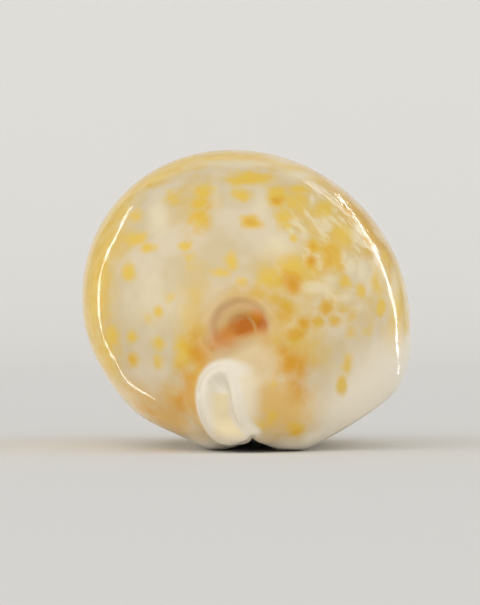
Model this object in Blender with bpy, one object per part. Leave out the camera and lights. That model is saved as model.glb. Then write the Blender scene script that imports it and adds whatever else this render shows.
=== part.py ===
"""A cowrie shell, grown as one piece: humped back, flat base with a long slit, rolled canal rims."""
import math

import bpy
import numpy as np

# Driving dimensions in millimetres. -Y is the hind end with the spire, +X the outer lip's side.
MM = 0.001
WIDTH_LONG = 51.5
WIDTH_SHORT = 47.2
SECTION_CENTRE = (0.1, 21.35)
SECTION_LEAN = math.radians(-38.0)
WIDEST_Y = -6.0
REACH_BACK = 29.4
REACH_FRONT = 42.0
WALL = 2.8
HIND_WALL = 4.2
SLIT_WIDTH = 3.0
HIND_SLIT_WIDTH = 0.6
TOOTH_SPACING = 2.3
TOOTH_DEPTH = 0.9
REST_Z = 0.55

# The base's sloping sides: each a plane's X and Z slant and its distance from the frame's origin.
RIGHT_SLOPE = (0.5225, -0.8526, 4.65)
RIGHT_HEEL = (0.339, -0.941, 2.25)
LEFT_SLOPE = (-0.418, -0.909, 2.12)
LEFT_HEEL = (-0.33, -0.944, 0.94)
LEFT_SHOULDER = (-0.819, -0.574, 11.3)

# Swellings and lips: centre and half sizes of each, or the two ends and two radii of a rod.
HIND_SWELLING = ((1.4, -19.5, 12.0), (12.0, 14.2, 11.4))
HIND_RIGHT_LOBE = ((6.0, -25.0, 6.4), (6.4, 7.6, 5.5))
CALLUS = ((-0.4, -29.2, 9.8), (8.8, 6.9, 8.4))
LEFT_LIP_HIND = ((-3.9, -24.0, 7.85), (-3.9, -5.0, 6.9), 6.8, 6.8)
LEFT_LIP_FRONT = ((-3.9, -5.0, 6.9), (-3.6, 16.0, 6.9), 6.8, 6.8)
LEFT_FLANGE = ((-2.6, -32.2, 7.9), (4.4, 3.6, 6.2))
FRONT_LEFT_LIP = ((-3.5, 20.0, 5.6), (-2.0, 33.4, 4.6), 4.8, 2.8)
FRONT_RIGHT_LIP = ((7.0, 20.0, 5.8), (5.0, 33.4, 4.8), 5.0, 2.9)
FRONT_CHANNEL = ((2.2, 24.0, 1.8), (1.7, 42.0, 4.2), 2.0, 2.4)

# The hind canal: four control points of each curve, and the radius of the roll along it.
RIM_CURVE = ((-0.6, -33.4, 3.6), (-5.8, -33.2, 2.0), (-8.8, -36.6, 14.2), (0.0, -33.9, 12.3))
RIM_RADIUS = 1.3
TROUGH_CURVE = ((-3.6, -37.5, 10.2), (-3.5, -37.4, 8.6), (-3.5, -37.4, 7.0), (-2.7, -37.1, 5.7))
TROUGH_RADIUS = 2.6
CREASE = ((-2.4, -36.2, 5.6), (1.0, -35.0, 3.7), 1.5, 0.6)
CREST_CURVE = ((-3.0, -35.2, 12.8), (-0.7, -36.4, 9.6), (-2.6, -36.3, 6.2), (1.0, -33.6, 3.6))
CREST_RADIUS = 0.5

# The sunken spire above the canal. Its suture winds inward from the radius given here.
SPIRE_CENTRE = (-1.0, 18.7)
SPIRE_RADIUS = 3.8
SPIRE_DEPTH = 1.3
COIL_SPACING = 2.4
SUTURE_DEPTH = 0.36

# The grid that the surface is drawn through, and the number of triangles kept.
GRID = 0.6
GRID_LOW = (-28.0, -40.0, -2.0)
GRID_HIGH = (28.0, 40.0, 49.0)
TRIANGLES = 9400
OUTER_THINNING = 0.985
INNER_SKIN = 0.3


class Field:
    """One number that varies over space. Arithmetic on it adds Math nodes to its tree."""

    def __init__(self, tree, socket):
        self.tree = tree
        self.socket = socket

    def math(self, operation, *values):
        node = self.tree.nodes.new("ShaderNodeMath")
        node.operation = operation
        for slot, value in zip(node.inputs, (self, *values)):
            feed(self.tree, slot, value)
        return Field(self.tree, node.outputs[0])

    def __add__(self, other):
        return self.math("ADD", other)

    def __sub__(self, other):
        return self.math("SUBTRACT", other)

    def __rsub__(self, other):
        return self.math("MULTIPLY_ADD", -1.0, other)

    def __mul__(self, other):
        return self.math("MULTIPLY", other)

    def __truediv__(self, other):
        return self.math("DIVIDE", other)

    def __pow__(self, other):
        return self.math("POWER", other)

    def __neg__(self):
        return self.math("MULTIPLY", -1.0)

    def __abs__(self):
        return self.math("ABSOLUTE")

    __radd__ = __add__
    __rmul__ = __mul__

    def root(self):
        return self.math("SQRT")

    def squared(self):
        return self.math("MULTIPLY", self)

    def cos(self):
        return self.math("COSINE")

    def least(self, other, blend=0.0):
        """The smaller value, rounded over where the two are closer than blend."""
        return self.math("SMOOTH_MIN", other, blend) if blend else self.math("MINIMUM", other)

    def most(self, other, blend=0.0):
        """The larger value, rounded over where the two are closer than blend."""
        return self.math("SMOOTH_MAX", other, blend) if blend else self.math("MAXIMUM", other)

    def ramp(self, start, stop, low=0.0, high=1.0):
        """Goes smoothly from low to high while this value goes from start to stop."""
        node = self.tree.nodes.new("ShaderNodeMapRange")
        node.interpolation_type = "SMOOTHSTEP"
        for slot, value in zip(node.inputs, (self, start, stop, low, high)):
            feed(self.tree, slot, value)
        return Field(self.tree, node.outputs[0])


def feed(tree, slot, value):
    """Links a field to the slot, or sets the slot to a plain value."""
    if isinstance(value, Field):
        tree.links.new(value.socket, slot)
    else:
        slot.default_value = value


def length(fields):
    total = fields[0].squared()
    for field in fields[1:]:
        total = total + field.squared()
    return total.root()


def blob(place, centre, half_sizes):
    """Distance to an ellipsoid, true near its surface."""
    away = [p - c for p, c in zip(place, centre)]
    scaled = length([a / h for a, h in zip(away, half_sizes)])
    slope = length([a / h ** 2 for a, h in zip(away, half_sizes)])
    return scaled * (scaled - 1.0) / slope.most(1e-4)


def rod(place, start, stop, start_radius, stop_radius):
    """Distance to a round-ended rod that tapers from start to stop."""
    run = [b - a for a, b in zip(start, stop)]
    away = [p - a for p, a in zip(place, start)]
    dot = away[0] * run[0] + away[1] * run[1] + away[2] * run[2]
    share = (dot / sum(r * r for r in run)).most(0.0).least(1.0)
    nearest = length([a - share * r for a, r in zip(away, run)])
    return nearest - (share * (stop_radius - start_radius) + start_radius)


def roll(tree, point, controls, radius):
    """Distance to a roll of that radius along a Bezier curve."""
    curve = tree.nodes.new("GeometryNodeCurvePrimitiveBezierSegment")
    curve.inputs["Resolution"].default_value = 32
    for name, value in zip(("Start", "Start Handle", "End Handle", "End"), controls):
        curve.inputs[name].default_value = value
    line = tree.nodes.new("GeometryNodeCurveToMesh")
    tree.links.new(curve.outputs[0], line.inputs[0])
    near = tree.nodes.new("GeometryNodeProximity")
    near.target_element = "EDGES"
    tree.links.new(line.outputs[0], near.inputs[0])
    tree.links.new(point, near.inputs["Sample Position"])
    return Field(tree, near.outputs["Distance"]) - radius


def dome(place):
    """The humped back: a leaning ellipse across, drawn in faster behind than in front."""
    x, y, z = place
    along = y - WIDEST_Y
    front = along.math("GREATER_THAN", 0.0)
    share = (along / REACH_FRONT).most(-along / REACH_BACK)
    drop = share.squared() * (front * 9.0 + 3.0)
    drift = share.squared() * (front * 2.0 - 1.1)
    across = x - SECTION_CENTRE[0] - drift
    up = z - SECTION_CENTRE[1] + drop
    long_way = across * math.cos(SECTION_LEAN) + up * math.sin(SECTION_LEAN)
    short_way = up * math.cos(SECTION_LEAN) - across * math.sin(SECTION_LEAN)
    long_half, short_half = WIDTH_LONG / 2.0, WIDTH_SHORT / 2.0
    fullness = 2.3 - front * 0.35
    reach = front * (REACH_FRONT - REACH_BACK) + REACH_BACK
    ends = share ** fullness
    scaled = ((long_way / long_half).squared() + (short_way / short_half).squared() + ends).root()
    end_slope = share ** (fullness - 1.0) * fullness * 0.5 / reach
    slope = length([long_way / long_half ** 2, short_way / short_half ** 2, end_slope])
    return scaled * (scaled - 1.0) / slope.most(1e-4)


def slanted(place, slope):
    """Distance above a plane that runs along Y."""
    return place[0] * slope[0] + place[2] * slope[1] - slope[2]


def from_slit(place):
    """Distance sideways from the middle of the slit, which bends left at both ends."""
    x, y, _ = place
    middle = 2.2 - ((y - 4.0) / 37.0).squared() * 1.3
    return abs(x - middle)


def half_slit_width(y):
    """Narrow behind, then a little wider towards the front."""
    return y.ramp(-33.0, -24.0, HIND_SLIT_WIDTH / 2.0, SLIT_WIDTH / 2.0) + y * 0.012


def body(place, back):
    """The back with its thick margin, the sloping base and the swollen ends."""
    x, y, z = place
    margin = x.ramp(11.0, 19.0, 0.0, 0.5) * z.ramp(20.0, 13.0)
    form = (back - margin).most(slanted(place, RIGHT_SLOPE), 1.8)
    form = form.most(slanted(place, LEFT_SLOPE), 3.0).most(slanted(place, LEFT_SHOULDER), 3.0)
    form = form.most(slanted(place, RIGHT_HEEL), 1.2).most(slanted(place, LEFT_HEEL), 1.2)
    form = form.least(rod(place, *LEFT_LIP_HIND).least(rod(place, *LEFT_LIP_FRONT)), 0.8)
    form = form.least(blob(place, *HIND_SWELLING), 4.0).least(blob(place, *HIND_RIGHT_LOBE), 3.0)
    form = form.least(blob(place, *CALLUS), 3.0)
    form = form.least(rod(place, *FRONT_LEFT_LIP), 5.0).least(rod(place, *FRONT_RIGHT_LIP), 5.0)
    bow = x.ramp(2.0, 2.4, 0.28, 0.42)
    hollowed_base = (1.9 - from_slit(place) * bow - z) * 0.95
    lifted_ends = y.ramp(-8.0, -30.0, 0.05, 0.85) + y.ramp(12.0, 36.0, 0.0, 1.2)
    return form.most(hollowed_base, 1.6).most(lifted_ends - z, 0.4)


def with_hind_canal(tree, point, place, form):
    """Adds the rolled rim and the crest on either side of a shallow trough."""
    form = form.least(blob(place, *LEFT_FLANGE), 1.6)
    form = form.least(roll(tree, point, RIM_CURVE, RIM_RADIUS), 0.7)
    trough = roll(tree, point, TROUGH_CURVE, TROUGH_RADIUS).least(rod(place, *CREASE), 1.0)
    form = form.most(-trough, 1.4)
    return form.least(roll(tree, point, CREST_CURVE, CREST_RADIUS), 1.2)


def with_spire(place, form):
    """Sinks the spire and its winding suture. Callus covers the spire's lower third."""
    x, y, z = place
    across, up = x - SPIRE_CENTRE[0], z - SPIRE_CENTRE[1]
    away = length([across, up])
    bare = y.ramp(-20.0, -28.0) * (z - x * 0.28).ramp(15.6, 18.6)
    pit = away.ramp(4.8, 1.2, 0.0, SPIRE_DEPTH)
    turn = (away - SPIRE_RADIUS) * (2.0 * math.pi / COIL_SPACING)
    turn = turn + (up.math("ARCTAN2", across) - math.pi / 2.0)
    suture = (turn.cos() * 0.5 + 0.5).squared() * away.ramp(7.4, 4.4, 0.0, SUTURE_DEPTH)
    return form + (pit + suture * away.ramp(0.4, 1.6)) * bare


def whorl(place, back):
    """Distance outside the hollow of the last whorl."""
    _, y, z = place
    wall = y.ramp(-22.0, -33.0, WALL, HIND_WALL)
    return (back + wall).most(7.0 - z, 4.0)


def with_openings(place, form, hollow):
    """Cuts the slit, the channel at the front and the hollow."""
    _, y, z = place
    ceiling = y.ramp(18.0, 33.0, 12.0, 5.2)
    slit = (from_slit(place) - half_slit_width(y)).most(z - ceiling, 2.0).most(-33.5 - y)
    lip_rounding = y.ramp(-33.0, -25.0, 1.2, 3.0)
    form = form.most(-slit, lip_rounding).most(-rod(place, *FRONT_CHANNEL), 2.5)
    return form.most(-hollow, 0.8)


def with_teeth(place, form):
    """Cuts grooves across both lips, which leaves a row of teeth on each."""
    _, y, z = place
    across = from_slit(place) - half_slit_width(y)
    near_slit = across.ramp(5.0, 1.2) * z.ramp(8.0, 4.5) * y.ramp(-28.0, -25.0) * y.ramp(33.0, 30.0)
    wave = (y * (2.0 * math.pi / TOOTH_SPACING)).cos()
    return form + (1.0 - wave) * near_slit * (TOOTH_DEPTH / 2.0)


def distance_tree():
    """A node group that gives a point's distances outside the shell and outside its hollow."""
    tree = bpy.data.node_groups.new("Distance outside the shell", "GeometryNodeTree")
    tree.interface.new_socket(name="Point", in_out="INPUT", socket_type="NodeSocketVector")
    for name in ("Distance", "Hollow"):
        tree.interface.new_socket(name=name, in_out="OUTPUT", socket_type="NodeSocketFloat")
    given = tree.nodes.new("NodeGroupInput")
    result = tree.nodes.new("NodeGroupOutput")
    in_mm = tree.nodes.new("ShaderNodeVectorMath")
    in_mm.operation = "SCALE"
    in_mm.inputs["Scale"].default_value = 1.0 / MM
    tree.links.new(given.outputs[0], in_mm.inputs[0])
    split = tree.nodes.new("ShaderNodeSeparateXYZ")
    tree.links.new(in_mm.outputs[0], split.inputs[0])
    place = [Field(tree, socket) for socket in split.outputs]
    back = dome(place)
    hollow = whorl(place, back)
    form = with_hind_canal(tree, in_mm.outputs[0], place, body(place, back))
    form = with_openings(place, with_spire(place, form), hollow)
    form = with_teeth(place, form)
    tree.links.new((form * MM).socket, result.inputs["Distance"])
    tree.links.new((hollow * MM).socket, result.inputs["Hollow"])
    return tree


def distance_at(tree, group, point, name="Distance"):
    node = tree.nodes.new("GeometryNodeGroup")
    node.node_tree = group
    tree.links.new(point, node.inputs[0])
    return Field(tree, node.outputs[name])


def snapped(tree, group, geometry, step):
    """Moves each vertex along the distance's slope onto the true surface."""
    position = tree.nodes.new("GeometryNodeInputPosition").outputs[0]
    slopes = []
    for axis in range(3):
        samples = []
        for sign in (1.0, -1.0):
            shifted = tree.nodes.new("ShaderNodeVectorMath")
            shifted.operation = "ADD"
            tree.links.new(position, shifted.inputs[0])
            shifted.inputs[1].default_value = [sign * step if i == axis else 0.0 for i in range(3)]
            samples.append(distance_at(tree, group, shifted.outputs[0]))
        slopes.append((samples[0] - samples[1]) / (2.0 * step))
    steepness = slopes[0].squared() + slopes[1].squared() + slopes[2].squared()
    pull = -distance_at(tree, group, position) / steepness.most(0.05)
    offset = tree.nodes.new("ShaderNodeCombineXYZ")
    for slot, slope in zip(offset.inputs, slopes):
        feed(tree, slot, (slope * pull).most(-GRID * MM).least(GRID * MM))
    move = tree.nodes.new("GeometryNodeSetPosition")
    tree.links.new(geometry, move.inputs["Geometry"])
    tree.links.new(offset.outputs[0], move.inputs["Offset"])
    return move.outputs[0]


def surface_tree():
    """A geometry tree that turns the distance into a closed mesh."""
    group = distance_tree()
    tree = bpy.data.node_groups.new("Shell surface", "GeometryNodeTree")
    tree.interface.new_socket(name="Geometry", in_out="INPUT", socket_type="NodeSocketGeometry")
    tree.interface.new_socket(name="Geometry", in_out="OUTPUT", socket_type="NodeSocketGeometry")
    result = tree.nodes.new("NodeGroupOutput")
    position = tree.nodes.new("GeometryNodeInputPosition").outputs[0]
    volume = tree.nodes.new("GeometryNodeVolumeCube")
    density = distance_at(tree, group, position) * (-1.0 / MM)
    tree.links.new(density.socket, volume.inputs["Density"])
    volume.inputs["Background"].default_value = -1.0
    volume.inputs["Min"].default_value = [v * MM for v in GRID_LOW]
    volume.inputs["Max"].default_value = [v * MM for v in GRID_HIGH]
    for axis, name in enumerate(("Resolution X", "Resolution Y", "Resolution Z")):
        volume.inputs[name].default_value = round((GRID_HIGH[axis] - GRID_LOW[axis]) / GRID) + 1
    skin = tree.nodes.new("GeometryNodeVolumeToMesh")
    skin.resolution_mode = "GRID"
    skin.inputs["Threshold"].default_value = 0.0
    tree.links.new(volume.outputs[0], skin.inputs["Volume"])
    geometry = skin.outputs[0]
    for _ in range(2):
        geometry = snapped(tree, group, geometry, GRID * MM * 0.1)
    keep = tree.nodes.new("GeometryNodeStoreNamedAttribute")
    keep.inputs["Name"].default_value = "hollow"
    tree.links.new(geometry, keep.inputs["Geometry"])
    tree.links.new(distance_at(tree, group, position, "Hollow").socket, keep.inputs["Value"])
    tree.links.new(keep.outputs[0], result.inputs[0])
    return tree


def mesh_as_seen(item):
    seen = item.evaluated_get(bpy.context.evaluated_depsgraph_get())
    return bpy.data.meshes.new_from_object(seen)


def vertex_places(mesh):
    places = np.empty(len(mesh.vertices) * 3, np.float32)
    mesh.vertices.foreach_get("co", places)
    return places.reshape(-1, 3)


def thinned(item):
    """Fewer triangles, most of them kept outside, where the form shows."""
    count = len(item.data.vertices)
    hollow = np.empty(count, np.float32)
    item.data.attributes["hollow"].data.foreach_get("value", hollow)
    inner = np.where(np.abs(hollow) < INNER_SKIN * MM)[0]
    group = item.vertex_groups.new(name="thinned most")
    group.add(range(count), OUTER_THINNING, "REPLACE")
    group.add(inner.tolist(), 1.0, "REPLACE")
    thin = item.modifiers.new("Fewer triangles", "DECIMATE")
    item.data.calc_loop_triangles()
    thin.ratio = TRIANGLES / len(item.data.loop_triangles)
    thin.vertex_group = group.name
    mesh = mesh_as_seen(item)
    mesh.attributes.remove(mesh.attributes["hollow"])
    return mesh


def stood_up(mesh):
    """Flattens what the shell rests on, and puts the origin at the bottom centre."""
    places = vertex_places(mesh)
    places[:, 2] = np.maximum(places[:, 2], REST_Z * MM)
    low, high = places.min(axis=0), places.max(axis=0)
    places -= np.array(((low[0] + high[0]) / 2.0, (low[1] + high[1]) / 2.0, low[2]))
    mesh.vertices.foreach_set("co", places.ravel())
    mesh.update()


def porcelain():
    material = bpy.data.materials.new("glossy cream shell")
    material.use_nodes = True
    surface = material.node_tree.nodes["Principled BSDF"]
    surface.inputs["Base Color"].default_value = (0.78, 0.60, 0.34, 1.0)
    surface.inputs["Roughness"].default_value = 0.18
    surface.inputs["Metallic"].default_value = 0.0
    return material


def make_shell(collection):
    draft = bpy.data.objects.new("draft", bpy.data.meshes.new("draft"))
    collection.objects.link(draft)
    surface = draft.modifiers.new("Surface", "NODES")
    surface.node_group = surface_tree()
    fine = bpy.data.objects.new("fine", mesh_as_seen(draft))
    collection.objects.link(fine)
    mesh = thinned(fine)
    mesh.name = "shell"
    bpy.data.objects.remove(draft)
    bpy.data.objects.remove(fine)
    stood_up(mesh)
    mesh.materials.clear()
    mesh.materials.append(porcelain())
    mesh.shade_smooth()
    shell = bpy.data.objects.new("shell", mesh)
    collection.objects.link(shell)
    return shell


def main():
    for item in list(bpy.data.objects):
        bpy.data.objects.remove(item)
    collection = bpy.data.collections.new("Cowrie shell")
    bpy.context.scene.collection.children.link(collection)
    make_shell(collection)


main()
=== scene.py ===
"""A glossy cowrie shell, hind end towards the camera: yellow and orange blotches on cream."""
import math
import random

import bpy
import numpy as np
from mathutils import Matrix, Vector
from mathutils.bvhtree import BVHTree


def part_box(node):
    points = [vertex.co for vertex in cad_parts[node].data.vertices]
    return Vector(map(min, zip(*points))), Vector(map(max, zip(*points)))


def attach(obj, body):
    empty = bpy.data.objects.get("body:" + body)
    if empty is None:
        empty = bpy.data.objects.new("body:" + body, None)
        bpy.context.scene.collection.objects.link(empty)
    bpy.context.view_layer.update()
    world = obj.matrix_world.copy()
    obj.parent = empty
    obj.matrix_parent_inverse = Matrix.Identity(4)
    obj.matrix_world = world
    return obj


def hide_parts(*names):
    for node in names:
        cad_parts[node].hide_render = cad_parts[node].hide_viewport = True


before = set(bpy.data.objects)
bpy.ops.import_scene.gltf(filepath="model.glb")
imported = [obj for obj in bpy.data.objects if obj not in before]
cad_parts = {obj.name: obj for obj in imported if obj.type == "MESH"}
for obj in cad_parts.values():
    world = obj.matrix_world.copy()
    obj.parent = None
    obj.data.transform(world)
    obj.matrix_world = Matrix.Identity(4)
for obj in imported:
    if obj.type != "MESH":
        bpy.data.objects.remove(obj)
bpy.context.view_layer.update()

# Sizes in millimetres, in the shell's own frame: -Y is the hind end, +X the outer lip's side.
MM = 0.001
SIZES = {
    "Long width": 51.5,
    "Short width": 47.2,
    "Hind reach": 29.4,
    "Front reach": 42.0,
    "Wall": 2.8,
    "Slit width": 3.0,
    "Tooth spacing": 2.3,
    "Tooth depth": 0.9,
}
SECTION_CENTRE = (0.1, 21.35)
SECTION_LEAN = math.radians(-38.0)
WIDEST_Y = -6.0
HIND_WALL = 4.2
HIND_SLIT_WIDTH = 0.6
REST_Z = 0.55

# The base's sloping sides: each a plane's X and Z slant and its distance from the origin.
RIGHT_SLOPE = (0.5225, -0.8526, 4.65)
RIGHT_HEEL = (0.339, -0.941, 2.25)
LEFT_SLOPE = (-0.418, -0.909, 2.12)
LEFT_HEEL = (-0.33, -0.944, 0.94)
LEFT_SHOULDER = (-0.819, -0.574, 11.3)

# Swellings and lips: centre and half sizes of each, or the two ends and two radii of a rod.
HIND_SWELLING = ((1.4, -19.5, 12.0), (12.0, 14.2, 11.4))
HIND_RIGHT_LOBE = ((6.0, -25.0, 6.4), (6.4, 7.6, 5.5))
CALLUS = ((-0.4, -29.2, 9.8), (8.8, 6.9, 8.4))
LEFT_LIP_HIND = ((-3.9, -24.0, 7.85), (-3.9, -5.0, 6.9), 6.8, 6.8)
LEFT_LIP_FRONT = ((-3.9, -5.0, 6.9), (-3.6, 16.0, 6.9), 6.8, 6.8)
LEFT_FLANGE = ((-2.6, -32.2, 7.9), (4.4, 3.6, 6.2))
FRONT_LEFT_LIP = ((-3.5, 20.0, 5.6), (-2.0, 33.4, 4.6), 4.8, 2.8)
FRONT_RIGHT_LIP = ((7.0, 20.0, 5.8), (5.0, 33.4, 4.8), 5.0, 2.9)
FRONT_CHANNEL = ((2.2, 24.0, 1.8), (1.7, 42.0, 4.2), 2.0, 2.4)

# The hind canal: four control points of each curve and the radius of the roll along it. The
# crease at the trough's lower end is a rod.
RIM_CURVE = ((-0.6, -33.4, 3.6), (-5.8, -33.2, 2.0), (-8.8, -36.6, 14.2), (0.0, -33.9, 12.3))
RIM_RADIUS = 1.3
TROUGH_CURVE = ((-3.6, -37.5, 10.2), (-3.5, -37.4, 8.6), (-3.5, -37.4, 7.0), (-2.7, -37.1, 5.7))
TROUGH_RADIUS = 2.6
CREASE = ((-2.4, -36.2, 5.6), (1.0, -35.0, 3.7), 1.5, 0.6)
CREST_CURVE = ((-3.0, -35.2, 12.8), (-0.7, -36.4, 9.6), (-2.6, -36.3, 6.2), (1.0, -33.6, 3.6))
CREST_RADIUS = 0.5

# The sunken spire above the canal. Its suture winds inward from the radius given here.
SPIRE_CENTRE = (-1.0, 18.7)
SPIRE_RADIUS = 3.8
SPIRE_DEPTH = 1.3
COIL_SPACING = 2.4
SUTURE_DEPTH = 0.36

# The grid that the surface is drawn through, how close to the hollow a vertex counts as its
# wall, and how many triangles are kept in all.
GRID = 0.46
GRID_LOW = (-28.0, -40.0, -2.0)
GRID_HIGH = (28.0, 40.0, 49.0)
INNER_SKIN = 0.3
TRIANGLES = 186000

# The photograph's view: level with the shell, looking along +Y. Its size, middle and base are
# in pixels, and the eye is in millimetres.
PICTURE_SIZE = (480, 605)
EYE = (-0.84, -600.0, 22.5)
MM_PER_PIXEL = 0.15244
MIDDLE_PIXEL = 245.5
BASE_PIXEL = 450.5
SENSOR_WIDTH = 36.0

# Colours, as the red, green and blue of a picture.
GROUND = (218, 203, 175)
WARM_GROUND = (208, 190, 152)
VEIL_YELLOW = (219, 184, 92)
LOW_VEIL_YELLOW = (220, 179, 100)
BACK_YELLOW = (232, 198, 92)
BACK_GOLD = (224, 182, 62)
BACK_CREAM = (226, 196, 116)
BACK_TAN = (214, 170, 80)
# Painted shade: the darker gold along the upper right outline.
UPPER_RIGHT_SHADED_GOLD = (208, 158, 44)
# Cream of the pale gaps in the pattern, also used for painted reflections.
GAP_AND_PAINTED_SHEEN_CREAM = (230, 217, 184)
# Painted highlight: pale streaks standing for broken reflections at upper right.
PAINTED_STREAK_HIGHLIGHT = (230, 215, 172)
BASE_WHITE = (240, 230, 210)
BLOTCH_YELLOW = (226, 190, 74)
BLOTCH_OLIVE = (210, 168, 48)
BLOTCH_ORANGE = (214, 150, 22)
SPIRE_TAN = (210, 176, 112)
SPIRE_INNER_TAN = (206, 168, 104)
SPIRE_RING = (204, 160, 118)
SPIRE_LEFT_BROWN = (204, 136, 60)
SPIRE_BROWN = (200, 124, 8)
SPIRE_DEEP_BROWN = (184, 103, 0)
CALLUS_CREAM = (220, 196, 152)
CALLUS_EDGE_TAN = (202, 174, 128)
CALLUS_SMOKE = (204, 134, 66)
CREST_SIDE_CREAM = (232, 220, 194)
RIM_WHITE = (230, 221, 202)
TROUGH_CREAM = (232, 214, 170)
# Painted highlight along the trough's step.
PAINTED_STEP_HIGHLIGHT = (242, 235, 222)

# Where colours and ripples centre on the hind end: across and up.
PAINTED_STREAKS_CENTRE = (12.5, 31.0)
RIPPLES_CENTRE = (13.0, 36.0)
OLIVE_CENTRE = (9.0, 21.0)
PIT_MIDDLE = (-0.6, 19.2)
BEYOND_TURN = (2.4, 19.4)
# Painted highlight along the spire's turn: its centre and radius.
RIDGE_HIGHLIGHT_CENTRE = (-1.0, 18.3)
RIDGE_HIGHLIGHT_RADIUS = 2.42
CALLUS_CENTRE = (-0.5, 13.5)
SMOKE_CENTRE = (-3.4, 16.4)
CREST_SIDE_CENTRE = (0.0, 8.0)
TROUGH_CENTRE = (-2.9, 7.0)
CALLUS_EDGE_SLANT = 0.34
CALLUS_EDGE_HEIGHT = 17.5

# The glaze: its refraction and roughness, the dullness added in the pit, and how high its waves
# and ripples are. Below it, the share of light that gets in and how far each colour of it goes.
GLAZE_REFRACTION = 1.34
GLAZE_ROUGHNESS = 0.07
PIT_DULLNESS = 0.45
WAVE_HEIGHT = 0.16
RIPPLE_HEIGHT = 0.36
LIGHT_LET_IN = 0.15
LIGHT_REACH = (1.0, 0.7, 0.4)

# How far front to back a mark and a veil reach from where the view meets the shell.
MARK_DEPTH = 9.0
VEIL_DEPTH = 14.0

# Where the far side starts, and the marks strewn over it: how many, their seed, and the
# smallest and largest radius.
FAR_SIDE_Y = -14.0
FAR_SIDE_LOWEST_Z = 9.0
FAR_BLOTCHES = (190, 4, (0.8, 2.2))
FAR_VEILS = (46, 9, (2.5, 5.0))
FAR_WINDOWS = (120, 12, (1.0, 2.6))

# The room, from here on in metres.
FLOOR_HALF_WIDTH = 1.8
FLOOR_FRONT = -1.8
FLOOR_BACK = 0.85
BACKDROP_HALF_WIDTH = 0.55
BACKDROP_BEND = 0.35
BACKDROP_STEPS = 12
BACKDROP_TOP = 1.3
PALE_GREY = (0.78, 0.77, 0.75, 1.0)
WORLD_WHITE = (1.0, 0.99, 0.97, 1.0)
SHELL_MIDDLE = (0.0, 0.0, 0.022)

# Soft panels in front: place, width and height, power in watts and the way of the long side.
SOFT_BOX = ((-0.7, -1.3, 1.3), (2.4, 2.0), 7.5)
LOW_FILL = ((-0.1, -1.2, 0.16), (0.28, 2.2), 2.5, (1.0, 0.0, 0.0))

# Narrow panels end to end, for the thin highlights: their corners, then their widths. The
# glow's panels are wider and dimmer.
LEFT_STRIP = (
    (-0.152, 0.15, 0.170), (-0.176, 0.15, 0.172), (-0.217, 0.15, 0.155), (-0.236, 0.15, 0.115),
    (-0.212, 0.15, 0.004), (-0.091, 0.042, 0.002), (-0.048, 0.001, 0.002), (-0.032, -0.011, 0.001),
    (-0.024, -0.020, 0.001), (-0.0205, -0.0232, 0.001),
)
LEFT_STRIP_WIDTHS = (0.005, 0.008, 0.009, 0.007, 0.004, 0.0016, 0.0009, 0.0007, 0.0005)
RIGHT_STRIP = (
    (0.084, 0.15, 0.127), (0.118, 0.15, 0.137), (0.157, 0.15, 0.137), (0.185, 0.15, 0.123),
    (0.220, 0.15, 0.080), (0.186, 0.15, 0.004), (0.140, 0.112, 0.002), (0.097, 0.069, 0.002),
    (0.071, 0.045, 0.002), (0.060, 0.036, 0.002), (0.049, 0.029, 0.002),
)
RIGHT_STRIP_WIDTHS = (0.005, 0.008, 0.009, 0.009, 0.008, 0.005, 0.004, 0.003, 0.002, 0.0016)
RIGHT_GLOW = ((0.070, 0.12, 0.165), (0.120, 0.12, 0.155), (0.165, 0.12, 0.130), (0.205, 0.12, 0.090))
RIGHT_GLOW_WIDTHS = (0.02, 0.025, 0.02)
STRIP_BRIGHTNESS = 13.0
RIGHT_GLOW_BRIGHTNESS = 2.0


class Graph:
    """Adds nodes to one node tree."""

    def __init__(self, tree):
        self.tree = tree

    def node(self, kind, settings=None, sockets=None):
        """Makes a node: settings first, then each socket's value or link. Gives the node."""
        made = self.tree.nodes.new(kind)
        for name, value in (settings or {}).items():
            setattr(made, name, value)
        for name, value in (sockets or {}).items():
            self.feed(made.inputs[name], value)
        return made

    def out(self, kind, settings=None, sockets=None, output=0):
        """Makes a node and gives one of its outputs."""
        return Signal(self, self.node(kind, settings, sockets).outputs[output])

    def feed(self, slot, value):
        if isinstance(value, Signal):
            self.tree.links.new(value.socket, slot)
        else:
            slot.default_value = value

    def mix(self, share, first, second):
        """A colour between first and second, each a node's output or three values up to 255."""
        ends = [end if isinstance(end, Signal) else srgb(*end) for end in (first, second)]
        settings = {"data_type": "RGBA", "clamp_factor": True}
        return self.out("ShaderNodeMix", settings, {0: share, 6: ends[0], 7: ends[1]}, 2)


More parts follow.
